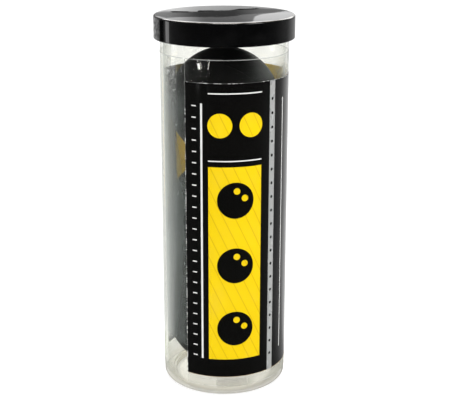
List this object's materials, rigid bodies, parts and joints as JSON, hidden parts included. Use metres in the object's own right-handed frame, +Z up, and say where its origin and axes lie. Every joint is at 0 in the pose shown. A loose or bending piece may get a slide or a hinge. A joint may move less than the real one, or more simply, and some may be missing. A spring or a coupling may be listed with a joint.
{
  "type": "squash ball tube",
  "caption": "Clear tube with a push-on lid and a printed wrap label, holding a stack of hollow rubber squash balls that lift out one by one.",
  "frame": {"origin": "on the table, under the tube's axis", "axes": "+Z up along the tube's axis, -Y towards the front of the label, +X to the viewer's right"},
  "size_m": [0.0496, 0.0496, 0.1359],
  "materials": {
    "clear_plastic": "clear, polished",
    "lid_plastic": "gloss black",
    "clear_film": "clear film, glossy",
    "black_ink": "printed, varnished",
    "yellow_ink": "printed, varnished",
    "white_ink": "printed, varnished",
    "silver_ink": "printed metallic grey",
    "ball_rubber": "matt, finely textured",
    "bond_rubber": "buffed seam",
    "dot_paint": "paint"
  },
  "bodies": {
    "tube": {"tube": "clear_plastic", "label_film": "clear_film", "label_ground": "black_ink", "label_front_panel": "yellow_ink", "label_back_panel": "yellow_ink", "label_discs": "black_ink", "label_court": "black_ink", "label_strip": "silver_ink", "label_lines": "white_ink", "label_badge": "yellow_ink"},
    "bottom_ball": {"bottom_ball_dotted_half": "ball_rubber", "bottom_ball_plain_half": "ball_rubber", "bottom_ball_bond": "bond_rubber", "bottom_ball_dots": "dot_paint"},
    "middle_ball": {"middle_ball_dotted_half": "ball_rubber", "middle_ball_plain_half": "ball_rubber", "middle_ball_bond": "bond_rubber", "middle_ball_dots": "dot_paint"},
    "top_ball": {"top_ball_dotted_half": "ball_rubber", "top_ball_plain_half": "ball_rubber", "top_ball_bond": "bond_rubber", "top_ball_dots": "dot_paint"},
    "lid": {"lid": "lid_plastic"}
  },
  "joints": [
    {"name": "bottom_ball_lift", "type": "slide", "parent": "tube", "child": "bottom_ball", "axis": [0, 0, 1], "range_m": [0, 0.145]},
    {"name": "middle_ball_lift", "type": "slide", "parent": "bottom_ball", "child": "middle_ball", "axis": [0, 0, 1], "range_m": [0, 0.105]},
    {"name": "top_ball_lift", "type": "slide", "parent": "middle_ball", "child": "top_ball", "axis": [0, 0, 1], "range_m": [0, 0.065]},
    {"name": "lid_lift", "type": "slide", "parent": "top_ball", "child": "lid", "axis": [0, 0, 1], "range_m": [0, 0.04]}
  ]
}
